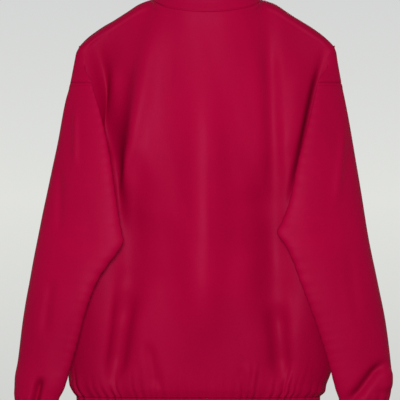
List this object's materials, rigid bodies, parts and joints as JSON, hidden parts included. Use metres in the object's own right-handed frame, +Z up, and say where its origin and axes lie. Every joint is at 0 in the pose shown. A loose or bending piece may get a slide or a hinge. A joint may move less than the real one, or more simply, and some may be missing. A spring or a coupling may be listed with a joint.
{
  "type": "windbreaker on a hanger",
  "caption": "Plain zip-up nylon windbreaker with a stand collar and elastic hem and cuffs, hung from a plain wooden hanger with a steel hook.",
  "frame": {"origin": "inside top of the hanger's hook, where a rod carries it", "axes": "+Z up, -Y towards the garment's front, +X towards the wearer's left"},
  "size_m": [0.6575, 0.1318, 0.86],
  "materials": {
    "nylon": "soft sheen woven nylon",
    "band": "gathered nylon over elastic",
    "tape": "woven tape, matt",
    "steel": "satin",
    "wood": "satin lacquer"
  },
  "bodies": {
    "jacket": {"back": "nylon", "front_left": "nylon", "front_right": "nylon", "sleeve_left": "nylon", "sleeve_right": "nylon", "collar": "nylon", "hem_band": "band", "cuff_left": "band", "cuff_right": "band", "zip_tape_left": "tape", "zip_tape_right": "tape", "zip_slider": "steel", "hanger_bar": "wood", "hanger_hook": "steel"},
    "zip_pull": {"zip_pull": "steel"}
  },
  "joints": [
    {"name": "pull_hinge", "type": "hinge", "parent": "jacket", "child": "zip_pull", "pos_m": [0, -0.0571, -0.135], "axis": [-1, 0, 0], "range_deg": [0, 150]}
  ]
}
